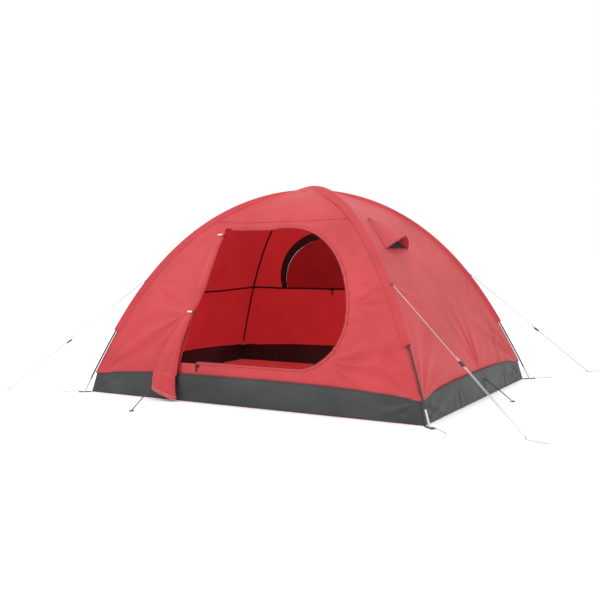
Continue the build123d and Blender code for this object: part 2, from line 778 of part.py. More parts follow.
def slider_place(name):
    """Middle of a slider's back, its tilt about X and its pull's tilt about X."""
    if name == "door":
        height = DOOR_SILL - SLIDER_HEIGHT / 2
        tilt = wall_slope(height) - 90
        y = -wall_y(height) - SEAM_GAP
        return Vector(DOOR_SLIDER_X, y, height), tilt, tilt + DOOR_PULL_LEAN
    height = WALL_SEAM - SLIDER_HEIGHT / 2 - 2
    tilt = 90 - wall_slope(height)
    inset = (SHEET + SEAM_GAP) / cos(radians(tilt))
    return Vector(WINDOW_SLIDER_X, wall_y(height) - inset, height), tilt, 0.0


def slider_body():
    """Slider with a bar between two ears; its back lies in the plane Y = 0."""
    body = Pos(0, -SLIDER_THICK / 2, 0) * Box(SLIDER_LENGTH, SLIDER_THICK, SLIDER_HEIGHT)
    body = fillet(body.edges().filter_by(Axis.Y), 3)
    reach = BAR_STANDOFF + BAR_R + 0.5
    for sign in (-1, 1):
        x = sign * (EAR_GAP + EAR_THICK) / 2
        body += Pos(x, -SLIDER_THICK - reach / 2, 0) * Box(EAR_THICK, reach, 2 * BAR_R + 2)
    bar = Cylinder(BAR_R, EAR_GAP + EAR_THICK, rotation=(0, 90, 0))
    return body + Pos(0, -SLIDER_THICK - BAR_STANDOFF, 0) * bar


def slider_pull():
    """Pull tab with an eye round the bar, whose axis is the X axis."""
    eye = Cylinder(BAR_R + BAR_FIT + 1.2, PULL_WIDTH, rotation=(0, 90, 0))
    tab = Pos(0, 0, -PULL_LENGTH / 2) * Box(PULL_WIDTH, PULL_THICK, PULL_LENGTH)
    bore = Cylinder(BAR_R + BAR_FIT, 2 * PULL_WIDTH, rotation=(0, 90, 0))
    return eye + tab - bore


def bar_place(name):
    """Middle of a slider's bar."""
    back, tilt, _ = slider_place(name)
    reach = SLIDER_THICK + BAR_STANDOFF
    return back + Vector(0, -reach * cos(radians(tilt)), -reach * sin(radians(tilt)))


def zip_slider(name):
    back, tilt, _ = slider_place(name)
    return Location(tuple(back), (tilt, 0, 0)) * slider_body()


def zip_pull(name):
    _, _, tilt = slider_place(name)
    return Location(tuple(bar_place(name)), (tilt, 0, 0)) * slider_pull()


def floor_sheet():
    return Pos(0, 0, SHEET / 2) * Box(2 * HALF_X * FLOOR_SHARE, 2 * HALF_Y * FLOOR_SHARE, SHEET)


def peak_cap():
    """Shallow patch over the crossing of the sleeves."""
    base_z = LINES["b"].at(LINES["b"].length / 2)[1] + SLEEVE_R + SEAM_GAP
    base = Pos(0, 0, base_z) * Rectangle(CAP_LENGTH, CAP_WIDTH)
    top = Pos(0, 0, base_z + CAP_RISE) * Rectangle(CAP_LENGTH * CAP_TOP_SHARE, CAP_WIDTH * CAP_TOP_SHARE)
    return loft([base, top])


def solids(shapes):
    """One compound of several shapes."""
    return Compound(children=[s for shape in shapes for s in shape.solids()])


def build():
    parts = {"floor_sheet": floor_sheet(), "peak_cap": peak_cap()}
    for side in ("front", "right", "back", "left"):
        parts[f"tub_{side}"] = tub_wall(side)
    parts.update(canopy())
    parts.update(poles())
    straps, eyelets, corner_pegs, tabs, pegs = [], [], [], [], []
    for name in CORNERS:
        turn = corner_angle(name)
        straps.append(corner_strap().rotate(Axis.Z, turn))
        eyelets.append(eyelet().rotate(Axis.Z, turn))
        corner_pegs.append(corner_peg().rotate(Axis.Z, turn))
        tabs.append(guy_tab(name))
        pegs.append(guy_peg(name))
        parts[f"guy_line_{name}"] = guy_line(name)
        parts[f"guy_runner_{name}"] = guy_runner(name)
    parts.update(corner_straps=straps, eyelets=eyelets, corner_pegs=corner_pegs, guy_tabs=tabs, guy_pegs=pegs)
    for side in TETHERS:
        parts[f"tether_{side}"] = tether(side)
    parts["tether_rings"] = [tether_ring(side) for side in TETHERS]
    parts["door_panel"] = door_panel()
    parts["roll_ties"] = [roll_tie(height) for height in TIE_HEIGHTS.values()]
    for name, height in TIE_HEIGHTS.items():
        parts[f"toggle_{name}"] = toggle(height)
    for name in ("door", "window"):
        parts[f"{name}_slider"] = zip_slider(name)
        parts[f"{name}_pull"] = zip_pull(name)
    parts["vent_hood"] = vent_hood()
    parts["vent_strut"] = vent_strut()[0]
    return parts


if __name__ == "__main__":
    os.makedirs("parts", exist_ok=True)
    for node, shape in build().items():
        if isinstance(shape, list):
            shape = solids(shape)
        export_step(shape, f"parts/{node}.step")
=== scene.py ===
from math import atan2, cos, hypot, pi, radians, sin

import bpy
import numpy as np
from mathutils import Matrix, Vector
from mathutils.geometry import delaunay_2d_cdt


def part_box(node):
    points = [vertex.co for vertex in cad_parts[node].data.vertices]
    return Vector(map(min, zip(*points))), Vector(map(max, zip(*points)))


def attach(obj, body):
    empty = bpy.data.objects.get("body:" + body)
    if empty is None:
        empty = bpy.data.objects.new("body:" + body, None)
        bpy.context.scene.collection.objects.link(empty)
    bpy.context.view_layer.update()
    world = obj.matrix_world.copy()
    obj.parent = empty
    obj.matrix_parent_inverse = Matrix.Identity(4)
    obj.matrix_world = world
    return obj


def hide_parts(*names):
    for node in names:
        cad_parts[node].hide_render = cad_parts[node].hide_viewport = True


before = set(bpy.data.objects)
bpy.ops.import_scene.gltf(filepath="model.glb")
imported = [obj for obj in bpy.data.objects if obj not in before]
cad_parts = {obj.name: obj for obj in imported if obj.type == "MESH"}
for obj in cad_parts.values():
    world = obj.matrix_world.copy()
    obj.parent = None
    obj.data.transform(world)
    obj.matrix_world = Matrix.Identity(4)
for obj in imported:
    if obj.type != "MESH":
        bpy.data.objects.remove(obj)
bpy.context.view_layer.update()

bl_info = {
    "name": "Dome tent",
    "version": (1, 0, 0),
    "blender": (4, 5, 0),
    "location": "3D View > Sidebar > Tent",
    "description": "Cloth, cords and finishes of a dome tent on its packed frame",
    "category": "Add Mesh",
}

# Sizes shared with the frame, in metres
HALF_X, HALF_Y = 1.05, 0.77
DIAGONAL = hypot(HALF_X, HALF_Y)
RISE = 1.12
TIP_LIFT = 0.0014
SLEEVE_R = 0.009
RIDGE_INSET = 0.0093
FLOOR_SHARE = (DIAGONAL - 0.042) / DIAGONAL
HEM = 0.1255
FRONT_SEAM = 0.953
WALL_SEAM = 0.530
SLEEVE_END = 0.340
CLOTH = 0.0012
WINDOW = (0.560, 0.385, 0.533)
BAND = 0.044
VENT_TOP, VENT_FOOT, VENT_MIDDLE, VENT_HALF = 0.957, 0.795, -0.137, 0.146
HOOD_OUT, HOOD_UP = 0.045, 0.064
CORD_R = 0.0015
CORNERS = {"front_left": (-1, -1), "front_right": (1, -1), "back_right": (1, 1), "back_left": (-1, 1)}


def bent_rod(half_span, rise, steps=400):
    """Distance out, height and slope of a bent rod from its tip to its top."""
    low, high = radians(20), radians(150)
    for _ in range(40):
        tip = (low + high) / 2
        angle, out, up, step = tip, 0.0, 0.0, 2.0 / steps
        rows = [(0.0, 0.0, tip)]
        while angle > 0:
            middle = angle - 0.5 * step * up
            out += step * cos(middle)
            up += step * sin(middle)
            angle -= step * up
            rows.append((out, up, max(angle, 0.0)))
        low, high = (tip, high) if up / out < rise / half_span else (low, tip)
    table = np.array(rows)
    scale = half_span / table[-1, 0]
    return half_span - table[:, 0] * scale, table[:, 1] * scale + TIP_LIFT, table[:, 2]


ROD_R, ROD_Z, ROD_ANGLE = bent_rod(DIAGONAL, RISE)
TOP_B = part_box("sleeve_b")[1][2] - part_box("sleeve_a")[1][2]
ROD_B = bent_rod(DIAGONAL, RISE + TOP_B)
RIDGE_R = ROD_R - RIDGE_INSET * np.sin(ROD_ANGLE)
RIDGE_Z = ROD_Z - RIDGE_INSET * np.cos(ROD_ANGLE)


class Side:
    """One side of the canopy, mapped by distance along it and length up its curve from the hem."""

    def __init__(self, name):
        self.name = name
        self.wide = name in ("front", "back")
        self.sign = -1 if name in ("front", "left") else 1
        self.half_out, self.half_along = (HALF_Y, HALF_X) if self.wide else (HALF_X, HALF_Y)
        self.share = np.clip(RIDGE_R / DIAGONAL, 0, 1)
        steps = np.hypot(np.diff(self.half_out * self.share), np.diff(RIDGE_Z))
        length = np.concatenate([[0], np.cumsum(steps)])
        self.s = length - np.interp(HEM, RIDGE_Z, length)
        self.slope = np.arctan2(np.gradient(RIDGE_Z), -np.gradient(self.half_out * self.share))

    def up(self, z):
        return np.interp(z, RIDGE_Z, self.s)

    def z(self, s):
        return np.interp(s, self.s, RIDGE_Z)

    def reach(self, s):
        """Half width of the side at a length up it."""
        return self.half_along * np.interp(s, self.s, self.share)

    def point(self, along, s, out=0.0):
        """Points on the side, moved outward, as rows of x, y, z."""
        along, s, out = np.broadcast_arrays(*[np.asarray(v, float) for v in (along, s, out)])
        fraction = along / np.maximum(self.reach(s), 1e-4)
        z = self.z(s)
        shift = hem_shift(fraction) * np.exp(-(((z - HEM) / 0.07) ** 2))
        moved = np.interp(z + shift, RIDGE_Z, self.s)
        moved = np.where(z < 0.6, moved, s)
        share = np.interp(moved, self.s, self.share)
        slope = np.interp(moved, self.s, self.slope)
        across = fraction * self.half_along * share
        distance = self.half_out * share + out * np.sin(slope)
        height = self.z(moved) + out * np.cos(slope)
        pair = (across, self.sign * distance) if self.wide else (self.sign * distance, across)
        return np.stack([*pair, height], -1)


def hem_shift(fraction):
    """Rise of the hem above its mean height: high in the middle, low at the corners."""
    return 0.014 - 0.034 * np.abs(fraction) ** 3


SIDES = {name: Side(name) for name in ("front", "back", "left", "right")}


# Folds, as outward movements of the cloth
def crease(x):
    """A wave with narrow tops."""
    return 0.5 * np.cos(x) + 0.9 * (0.64 - np.abs(np.sin(x / 2)))


def fan(a, b, centre, aim, spread, reach, folds, height):
    """Folds that spread from a point under tension."""
    across, up = a - centre[0], b - centre[1]
    r = np.hypot(across, up)
    turn = np.arctan2(up, across) - atan2(aim[1], aim[0])
    turn = (turn + pi) % (2 * pi) - pi
    window = np.exp(-((turn / spread) ** 2)) * np.exp(-((r / reach) ** 2)) * (1 - np.exp(-((r / (0.2 * reach)) ** 2)))
    return height * window * crease(folds * turn + 0.7 * np.sin(5 * turn))


def drift(a, b, height=0.002, seed=0.0):
    """Broad uneven waves of a stretched cloth."""
    return height * (
        np.sin(9.1 * a + 4.3 * b + seed) + 0.7 * np.sin(-5.3 * a + 11.7 * b + 2.1 + seed)
        + 0.5 * np.sin(17.0 * a - 7.9 * b + 4.2 + 2 * seed)
    ) / 2


def puckers(a, b, line, pitch, reach, height):
    """Short wrinkles square to a sewn edge, where line is its points."""
    line = np.asarray(line)
    lengths = np.concatenate([[0], np.cumsum(np.hypot(*np.diff(line, axis=0).T))])
    result = np.zeros_like(a)
    block = 4000
    for i in range(0, len(a), block):
        d2 = (a[i:i + block, None] - line[None, :, 0]) ** 2 + (b[i:i + block, None] - line[None, :, 1]) ** 2
        nearest = d2.argmin(1)
        away = np.sqrt(d2[np.arange(len(nearest)), nearest])
        x = lengths[nearest]
        wave = crease(2 * pi * x / pitch + 1.3 * np.sin(2 * pi * x / (4.7 * pitch)))
        result[i:i + block] = height * wave * np.exp(-away / reach) * (0.6 + 0.4 * np.sin(7.1 * x / pitch / 3))
    return result


# Share by which the tension folds stand out
FOLD_DEPTH = 1.7


def side_folds(side, a, s):
    """Outward movement of every point of a side's cloth."""
    z = side.z(s)
    edge = np.maximum(side.reach(s) - np.abs(a), 0)
    free = 1 - np.exp(-((edge / 0.05) ** 2))
    half = np.maximum(side.reach(s), 1e-3)
    sag = -0.012 * np.clip(1 - (a / half) ** 2, 0, 1) * np.clip((z - 0.2) / 0.5, 0, 1)
    hem = side.reach(0.0)
    out = drift(a, s, 0.0022, 1.7 * len(side.name)) + sag
    folds = np.zeros_like(out)
    for sign in (-1, 1):
        folds += fan(a, s, (sign * (hem - 0.01), -0.01), (-sign * 0.8, 0.55), 0.62, 0.42, 15, 0.0042)
        guy = side.up(0.632)
        folds += fan(a, s, (sign * side.reach(guy), guy), (-sign, -0.45), 0.6, 0.22, 12, 0.0024)
    if side.name == "right":
        folds += fan(a, s, (0.08, -0.02), (0.05, 1), 0.5, 0.30, 16, 0.0050)
        folds += fan(a, s, (0.52, 0.30), (-0.3, -1), 0.4, 0.35, 12, 0.0030)
        folds += fan(a, s, (VENT_MIDDLE, side.up(VENT_TOP)), (0, -1), 1.4, 0.20, 8, 0.0015)
    if side.name == "front":
        folds *= np.clip(1.15 - 0.4 * np.exp(-(((a - 0.1) / 0.4) ** 2)), 0, 1)
        folds += fan(a, s, (-0.42, side.up(0.46)), (-0.9, -0.5), 0.75, 0.34, 11, 0.0062)
        folds += fan(a, s, (-0.45, side.up(0.44)), (-0.25, -1), 0.45, 0.33, 13, 0.0080)
        folds += fan(a, s, (-0.37, side.up(0.90)), (-0.8, -0.6), 0.5, 0.30, 10, 0.0035)
        folds += fan(a, s, (0.47, side.up(0.25)), (1, -0.05), 0.6, 0.36, 15, 0.0062)
        folds += fan(a, s, (0.56, side.up(0.52)), (1, 0.25), 0.7, 0.22, 13, 0.0040)
        folds += fan(a, s, (0.45, side.up(0.77)), (1, 0.1), 0.6, 0.20, 12, 0.0026)
        right = DOOR[DOOR[:, 0] > 0.28]
        folds += puckers(a, s, right, 0.052, 0.045, 0.0026)
    peak = np.hypot(a, side.half_out * np.interp(s, side.s, side.share))
    return (out + FOLD_DEPTH * folds) * free + 0.021 * np.exp(-((peak / 0.18) ** 2))


# Outlines on the front, back and right sides, as rows of distance along and length up
def arc(first, middle, last, count=28):
    """Points of a circle's arc through three points."""
    (x1, y1), (x2, y2), (x3, y3) = first, middle, last
    d = 2 * (x1 * (y2 - y3) + x2 * (y3 - y1) + x3 * (y1 - y2))
    q1, q2, q3 = x1 * x1 + y1 * y1, x2 * x2 + y2 * y2, x3 * x3 + y3 * y3
    cx = (q1 * (y2 - y3) + q2 * (y3 - y1) + q3 * (y1 - y2)) / d
    cy = (q1 * (x3 - x2) + q2 * (x1 - x3) + q3 * (x2 - x1)) / d
    r = hypot(x1 - cx, y1 - cy)
    a, b, c = (atan2(y - cy, x - cx) for x, y in (first, middle, last))
    turn = lambda t: (t - a) % (2 * pi)
    end = turn(c) if turn(b) < turn(c) else turn(c) - 2 * pi
    return [(cx + r * cos(a + end * i / count), cy + r * sin(a + end * i / count)) for i in range(count + 1)]


def fill_in(points, step=0.012):
    """Points along a polyline at even short steps."""
    points = np.asarray(points, float)
    out = []
    for p, q in zip(points, points[1:]):
        count = max(1, round(hypot(*(q - p)) / step))
        out += [p + (q - p) * i / count for i in range(count)]
    return np.array(out + [points[-1]])


def door_loop(inset=0.0):
    """The door opening in x and z, without its end point, moved inward by inset."""
    sewn_top, sewn_foot = (-0.335, 0.918), (-0.405, 0.192)
    shoulder = arc((-0.030, 0.918), (0.405, 0.791), (0.557, 0.480))
    heel = arc((0.557, 0.480), (0.500, 0.283), (0.330, 0.192))
    loop = fill_in([sewn_top, *shoulder, *heel[1:], sewn_foot, sewn_top])[:-1]
    if inset:
        ahead, behind = np.roll(loop, -1, 0), np.roll(loop, 1, 0)
        along = ahead - behind
        along /= np.linalg.norm(along, axis=1)[:, None]
        loop = loop + inset * np.stack([along[:, 1], -along[:, 0]], 1)
    return loop


def on_side(side, loop):
    loop = np.asarray(loop, float)
    return np.stack([loop[:, 0], side.up(loop[:, 1])], 1)


def half_ellipse(inset):
    """The window's outline in x and z."""
    half, rise, foot = WINDOW
    angles = np.linspace(0, pi, 90)
    bow = np.stack([(half - inset) * np.cos(angles), foot + (rise - inset) * np.sin(angles)], 1)
    return fill_in([*bow, bow[0]])[:-1]


DOOR = on_side(SIDES["front"], door_loop())
WINDOW_LOOPS = {inset: on_side(SIDES["back"], half_ellipse(inset)) for inset in (0.0, BAND)}
VENT = on_side(
    SIDES["right"],
    fill_in([(VENT_MIDDLE - VENT_HALF + 0.008, VENT_FOOT + 0.004), (VENT_MIDDLE + VENT_HALF - 0.008, VENT_FOOT + 0.004),
             (VENT_MIDDLE, VENT_TOP - 0.008), (VENT_MIDDLE - VENT_HALF + 0.008, VENT_FOOT + 0.004)])[:-1],
)


def inside(points, loop):
    """Which points lie in a closed loop."""
    x, y = points[:, 0][:, None], points[:, 1][:, None]
    x1, y1 = loop[:, 0][None], loop[:, 1][None]
    x2, y2 = np.roll(loop[:, 0], -1)[None], np.roll(loop[:, 1], -1)[None]
    rises = (y1 > y) != (y2 > y)
    cut = x < (x2 - x1) * (y - y1) / np.where(y2 == y1, 1e-12, y2 - y1) + x1
    return (rises & cut).sum(1) % 2 == 1


def side_loop(side, s0, s1):
    """Outline of a side between two lengths up it."""
    up = np.linspace(s0, s1, max(4, int((s1 - s0) / 0.012)))
    right = np.stack([side.reach(up), up], 1)
    left = np.stack([-side.reach(up[::-1]), up[::-1]], 1)
    return fill_in([*right, *left, right[0]])[:-1]


def net(loop, holes=(), step=0.0105):
    """Triangles that fill a loop around its holes."""
    low, high = loop.min(0), loop.max(0)
    rows = np.arange(low[1], high[1], step * 0.87)
    grid = np.array([
        (x + (i % 2) * step / 2, y) for i, y in enumerate(rows) for x in np.arange(low[0], high[0], step)
    ])
    keep = inside(grid, loop)
    for hole in holes:
        keep &= ~inside(grid, hole)
    grid = grid[keep]
    rim = np.concatenate([loop, *holes])
    near = np.zeros(len(grid), bool)
    for i in range(0, len(grid), 4000):
        d2 = ((grid[i:i + 4000, None] - rim[None]) ** 2).sum(2).min(1)
        near[i:i + 4000] = d2 < (0.45 * step) ** 2
    points = np.concatenate([rim, grid[~near]])
    edges, start = [], 0
    for part in (loop, *holes):
        edges += [(start + i, start + (i + 1) % len(part)) for i in range(len(part))]
        start += len(part)
    verts, _, faces, *_ = delaunay_2d_cdt([Vector(p) for p in points], edges, [], 0, 1e-6)
    verts = np.array([tuple(v) for v in verts])
    faces = np.array([f for f in faces if len(f) == 3])
    middle = verts[faces].mean(1)
    keep = inside(middle, loop)
    for hole in holes:
        keep &= ~inside(middle, hole)
    return verts, faces[keep]


# Making pieces
def make(name, verts, faces, finish, body="tent", smooth=True, uv=None):
    """A mesh object that rides on a body."""
    mesh = bpy.data.meshes.new(name)
    mesh.from_pydata([tuple(v) for v in verts], [], [tuple(int(i) for i in f) for f in faces])
    mesh.validate()
    mesh.update()
    if smooth:
        mesh.shade_smooth()
    for item in finish if isinstance(finish, (list, tuple)) else [finish]:
        mesh.materials.append(material(item))
    if uv is not None:
        layer = mesh.uv_layers.new(name="cloth")
        corner = np.empty(len(mesh.loops), np.int32)
        mesh.loops.foreach_get("vertex_index", corner)
        layer.data.foreach_set("uv", np.asarray(uv, np.float32)[corner].ravel())
    piece = bpy.data.objects.new(name, mesh)
    bpy.context.scene.collection.objects.link(piece)
    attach(piece, body)
    return piece


def thicken(piece, depth=CLOTH, offset=-1.0, lining=False):
    """Give a sheet its thickness, with the second finish on its inner face."""
    shell = piece.modifiers.new("thickness", "SOLIDIFY")
    shell.thickness = depth
    shell.offset = offset
    shell.use_even_offset = False
    if lining:
        shell.material_offset = 1
    return piece


def cloth_panel(name, side, loop, holes, finish, nodes, out=0.0, body="tent", step=0.0105, depth=CLOTH):
    """One sewn panel of a side, with its folds."""
    verts, faces = net(loop, holes, step)
    a, s = verts.T
    points = side.point(a, s, side_folds(side, a, s) + out)
    p, q, r = (points[faces[:, i]] for i in range(3))
    centre = np.array([0, 0, 0.2])
    facing = (np.cross(q - p, r - p) * ((p + q + r) / 3 - centre)).sum()
    if facing < 0:
        faces = faces[:, ::-1]
    piece = make(name, points, faces, finish, body, uv=verts)
    thicken(piece, depth, lining=True)
    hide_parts(*nodes)
    return piece


def ribbon(name, points, normals, width, finish, lift=0.0, body="tent", depth=0.0012):
    """A flat tape along a line, lying square to the normals."""
    points, normals = np.asarray(points, float), np.asarray(normals, float)
    along = np.gradient(points, axis=0)
    along /= np.linalg.norm(along, axis=1)[:, None]
    across = np.cross(along, normals)
    across /= np.linalg.norm(across, axis=1)[:, None]
    rows = [points + normals * lift + across * width * t for t in (-0.5, -0.17, 0.17, 0.5)]
    verts = np.concatenate(rows)
    n = len(points)
    faces = grid_faces(len(rows), n)
    lengths = np.concatenate([[0], np.cumsum(np.linalg.norm(np.diff(points, axis=0), axis=1))])
    uv = np.concatenate([np.stack([lengths, np.full(n, t * width)], 1) for t in (-0.5, -0.17, 0.17, 0.5)])
    piece = make(name, verts, faces, finish, body, uv=uv)
    thicken(piece, depth, 0.0)
    return piece


def grid_faces(rows, columns):
    """Faces of a mesh whose vertices run along each row in turn."""
    return [
        (r * columns + i, r * columns + i + 1, (r + 1) * columns + i + 1, (r + 1) * columns + i)
        for r in range(rows - 1) for i in range(columns - 1)
    ]


def tube_mesh(points, radius, sides=10, closed=False):
    """Vertices and faces of a round cord along points."""
    points = np.asarray(points, float)
    along = np.gradient(points, axis=0)
    along /= np.linalg.norm(along, axis=1)[:, None]
    side = np.cross(along[0], [0.1, 0.2, 1.0])
    verts = []
    for p, t in zip(points, along):
        side = side - t * side.dot(t)
        side /= np.linalg.norm(side)
        up = np.cross(t, side)
        verts += [p + radius * (cos(a) * side + sin(a) * up) for a in np.linspace(0, 2 * pi, sides, endpoint=False)]
    n = len(points)
    faces = [
        (r * sides + i, r * sides + (i + 1) % sides, (r + 1) * sides + (i + 1) % sides, (r + 1) * sides + i)
        for r in range(n - 1) for i in range(sides)
    ]
    if not closed:
        faces += [tuple(range(sides))[::-1], tuple(range((n - 1) * sides, n * sides))]
    return verts, faces


# Finishes
def linear(code):
    """A hex colour as linear red, green, blue and alpha."""
    parts = [int(code[i:i + 2], 16) / 255 for i in (1, 3, 5)]
    return tuple(c / 12.92 if c <= 0.04045 else ((c + 0.055) / 1.055) ** 2.4 for c in parts) + (1.0,)


def add(tree, kind, settings=None, **inputs):
    """Adds a node. Inputs are values, or sockets to link from."""
    node = tree.nodes.new(kind)
    for key, value in (settings or {}).items():
        setattr(node, key, value)
    for key, value in inputs.items():
        name = key.replace("_", " ")
        socket = node.inputs[int(key[1:])] if key[0] == "i" and key[1:].isdigit() else node.inputs[name]
        if isinstance(value, bpy.types.NodeSocket):
            tree.links.new(value, socket)
        else:
            socket.default_value = value
    return node


def ramp(tree, factor, stops):
    node = add(tree, "ShaderNodeValToRGB", Fac=factor)
    while len(node.color_ramp.elements) < len(stops):
        node.color_ramp.elements.new(0.5)
    for element, (place, colour) in zip(node.color_ramp.elements, stops):
        element.position = place
        element.color = linear(colour)
    return node.outputs["Color"]


# Name: colours from dark to light, roughness, metallic, sheen, pattern, glow
FINISHES = {
    # Coated ripstop polyester: a soft satin with a faint square of thicker threads
    "ripstop_polyester": (("#AC282D", "#B82F35", "#BE373C"), 0.60, 0.0, 0.06, "ripstop", 0.0),
    # The same cloth from inside, where daylight comes through it and deepens the red
    "ripstop_polyester_lit_through": (("#AC2329", "#BE2E34", "#C6383D"), 0.65, 0.0, 0.08, "ripstop", 0.30),
    # Two layers of the cloth, which let less light through
    "doubled_polyester_lit_through": (("#7E161B", "#94191F", "#9C2227"), 0.62, 0.0, 0.15, "ripstop", 0.16),
    # Floor of coated red taffeta: closer, duller and creased; its glow is painted light, standing in for daylight
    # through the red walls
    "coated_taffeta": (("#B8242A", "#CC3036", "#D43C42"), 0.60, 0.0, 0.15, "ripstop", 0.40),
    # Bathtub of heavy coated polyester: waxy, dark grey, with broad lighter and darker patches
    "heavy_coated_polyester": (("#1F2322", "#2A2E2D", "#353938"), 0.55, 0.0, 0.05, "weave", 0.0),
    # Nylon webbing: ribbed and matte
    "nylon_webbing": (("#0F0F11", "#18181A", "#242427"), 0.75, 0.0, 0.25, "rib", 0.0),
    # Seam tape inside: dark, narrow and flat
    "seam_tape": (("#24080A", "#300C0F", "#3C1013"), 0.80, 0.0, 0.0, "rib", 0.0),
    # Pultruded fibreglass: dark, smooth, with fine lengthwise streaks
    "pultruded_fibreglass": (("#1D1F21", "#292B2D", "#333537"), 0.35, 0.0, 0.0, "streak", 0.0),
    # Zinc-plated steel: grey metal with a cloudy plating
    "zinc_plated_steel": (("#9A9EA0", "#B4B8BA", "#C6CACB"), 0.34, 1.0, 0.0, "cloud", 0.0),
    # Turned aluminium: pale, satin
    "turned_aluminium": (("#B5B9BB", "#CDD1D2", "#DADDDD"), 0.30, 1.0, 0.0, "streak", 0.0),
    # Nickelled brass eyelet
    "nickelled_brass": (("#A89A74", "#BDB08A", "#CFC6A8"), 0.32, 1.0, 0.0, "cloud", 0.0),
    # Moulded acetal: black, low gloss, very fine spark-eroded grain
    "moulded_acetal": (("#0E0F10", "#17181A", "#212224"), 0.45, 0.0, 0.0, "grain", 0.0),
    # Moulded acetal, cream: low gloss, a faint spark-eroded grain
    "cream_acetal": (("#D9C6A6", "#E9D8BA", "#F2E6CE"), 0.40, 0.0, 0.0, "grain", 0.0),
    # Braided polyester line: pale grey with crossing strands
    "braided_polyester": (("#A9A8A3", "#BDBDB8", "#CBCBC6"), 0.75, 0.0, 0.10, "braid", 0.0),
    # Braided cover over rubber: black
    "braided_elastic": (("#0C0C0E", "#161618", "#222225"), 0.70, 0.0, 0.25, "braid", 0.0),
    # Knitted insect mesh: black, seen as a dark haze of threads
    "knitted_mesh": (("#0B0B0C", "#141415", "#1E1E20"), 0.85, 0.0, 0.10, "weave", 0.0),
    # Woven binding tape, pale red where the light catches its rib
    "binding_tape": (("#C95A5C", "#D9777A", "#E79A9A"), 0.60, 0.0, 0.30, "rib", 0.0),
}

# Real spacing of each pattern in millimetres, drawn coarser where it is too fine to show
PITCH = {"ripstop": 12.0, "weave": 3.0, "rib": 3.0, "streak": 4.0, "cloud": 9.0, "grain": 1.2, "braid": 4.0}


def material(name):
    """The named finish, made once."""
    found = bpy.data.materials.get(name)
    if found:
        return found
    colours, roughness, metallic, sheen, pattern, glow = FINISHES[name]
    result = bpy.data.materials.new(name)
    result.use_nodes = True
    tree = result.node_tree
    tree.nodes.clear()
    place = add(tree, "ShaderNodeTexCoord")
    here = place.outputs["Object"]
    cloth = place.outputs["UV"] if pattern in ("ripstop",) else here
    shade = add(tree, "ShaderNodeTexNoise", Vector=here, Scale=3.2, Detail=5.0, Roughness=0.55)
    speck = add(tree, "ShaderNodeTexNoise", Vector=here, Scale=90.0, Detail=3.0)
    per_metre = 1000.0 / PITCH[pattern]
    band_scale = per_metre * 2 * pi / 20
    if pattern == "ripstop":
        bands = [
            add(tree, "ShaderNodeTexWave", {"bands_direction": d}, Vector=cloth, Scale=band_scale).outputs["Fac"]
            for d in ("X", "Y")
        ]
        lines = add(tree, "ShaderNodeMath", {"operation": "MAXIMUM"}, i0=bands[0], i1=bands[1]).outputs[0]
        height = add(tree, "ShaderNodeMath", {"operation": "POWER"}, i0=lines, i1=6.0).outputs[0]
        strength, distance = 0.10, 0.0004
    elif pattern in ("weave", "rib", "braid"):
        first = add(tree, "ShaderNodeTexWave", {"bands_direction": "DIAGONAL" if pattern == "braid" else "X"},
                    Vector=here, Scale=band_scale).outputs["Fac"]
        second = add(tree, "ShaderNodeTexWave", {"bands_direction": "Z" if pattern != "rib" else "X"},
                     Vector=here, Scale=band_scale).outputs["Fac"]
        height = add(tree, "ShaderNodeMath", {"operation": "MULTIPLY"}, i0=first, i1=second).outputs[0]
        strength, distance = 0.25, 0.0004
    elif pattern == "streak":
        stretch = add(tree, "ShaderNodeMapping", Vector=here, Scale=(per_metre, per_metre, per_metre * 0.08))
        height = add(tree, "ShaderNodeTexNoise", Vector=stretch.outputs[0], Scale=1.0, Detail=4.0).outputs["Fac"]
        strength, distance = 0.12, 0.0002
    else:
        height = add(tree, "ShaderNodeTexNoise", Vector=here, Scale=per_metre, Detail=5.0).outputs["Fac"]
        strength, distance = 0.12, 0.0002
    mixed = add(tree, "ShaderNodeMath", {"operation": "MULTIPLY_ADD"}, i0=height, i1=0.10, i2=shade.outputs["Fac"])
    tone = ramp(tree, mixed.outputs[0], [(0.34, colours[0]), (0.52, colours[1]), (0.72, colours[2])])
    wear = add(tree, "ShaderNodeMapRange", Value=speck.outputs["Fac"], To_Min=roughness - 0.06, To_Max=roughness + 0.08)
    bump = add(tree, "ShaderNodeBump", Height=height, Strength=strength, Distance=distance)
    shader = add(tree, "ShaderNodeBsdfPrincipled", Base_Color=tone, Roughness=wear.outputs[0], Normal=bump.outputs[0])
    shader.inputs["Metallic"].default_value = metallic
    shader.inputs["Sheen Weight"].default_value = sheen
    shader.inputs["Sheen Roughness"].default_value = 0.45
    # Glow is painted light: emission standing in for daylight coming through the red cloth
    if glow:
        shader.inputs["Emission Color"].default_value = linear(colours[1])
        shader.inputs["Emission Strength"].default_value = glow
    end = add(tree, "ShaderNodeOutputMaterial")
    tree.links.new(shader.outputs[0], end.inputs["Surface"])
    return result


OUTER = ("ripstop_polyester", "ripstop_polyester_lit_through")


